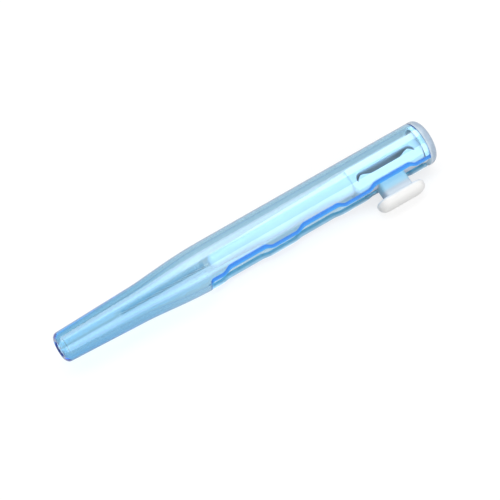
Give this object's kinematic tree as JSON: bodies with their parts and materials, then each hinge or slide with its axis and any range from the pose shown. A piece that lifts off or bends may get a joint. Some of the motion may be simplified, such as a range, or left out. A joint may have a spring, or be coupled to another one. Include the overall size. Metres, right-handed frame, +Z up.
{
  "type": "interdental brush",
  "caption": "Slide-out interdental brush: a clear tapered barrel with a wavy thumb slot, a sliding carrier with a thumb button, and a twisted-wire brush.",
  "frame": {"origin": "centre of the end plug's flat rear face, on the barrel's axis", "axes": "+X along the barrel's axis, from the tip to the rear; +Z up, with the brush lying on its barrel and on the edge of the button's cap; the button points towards -Y"},
  "size_m": [0.0799, 0.0126, 0.009],
  "materials": {
    "clear_plastic": "clear blue moulded plastic, glossy",
    "plug_plastic": "milky moulded plastic, satin",
    "carrier_plastic": "white moulded plastic, satin",
    "button_plastic": "white moulded plastic, soft satin",
    "wire_steel": "drawn stainless wire",
    "bristle_nylon": "fine clear nylon"
  },
  "bodies": {
    "barrel": {"barrel": "clear_plastic", "end_plug": "plug_plastic"},
    "carrier": {"carrier": "carrier_plastic", "spring_bridge": "carrier_plastic", "wire": "wire_steel", "bristles": "bristle_nylon"},
    "button": {"button": "button_plastic"}
  },
  "joints": [
    {"name": "carrier_slide", "type": "slide", "parent": "barrel", "child": "carrier", "axis": [-1, 0, 0], "range_m": [0, 0.0318]},
    {"name": "button_press", "type": "slide", "parent": "carrier", "child": "button", "axis": [0, 0.9351, 0.3544], "range_m": [0, 0.001], "stiffness_N_per_m": 800, "springref_m": -0.0002, "deforming": ["spring_bridge"]}
  ]
}
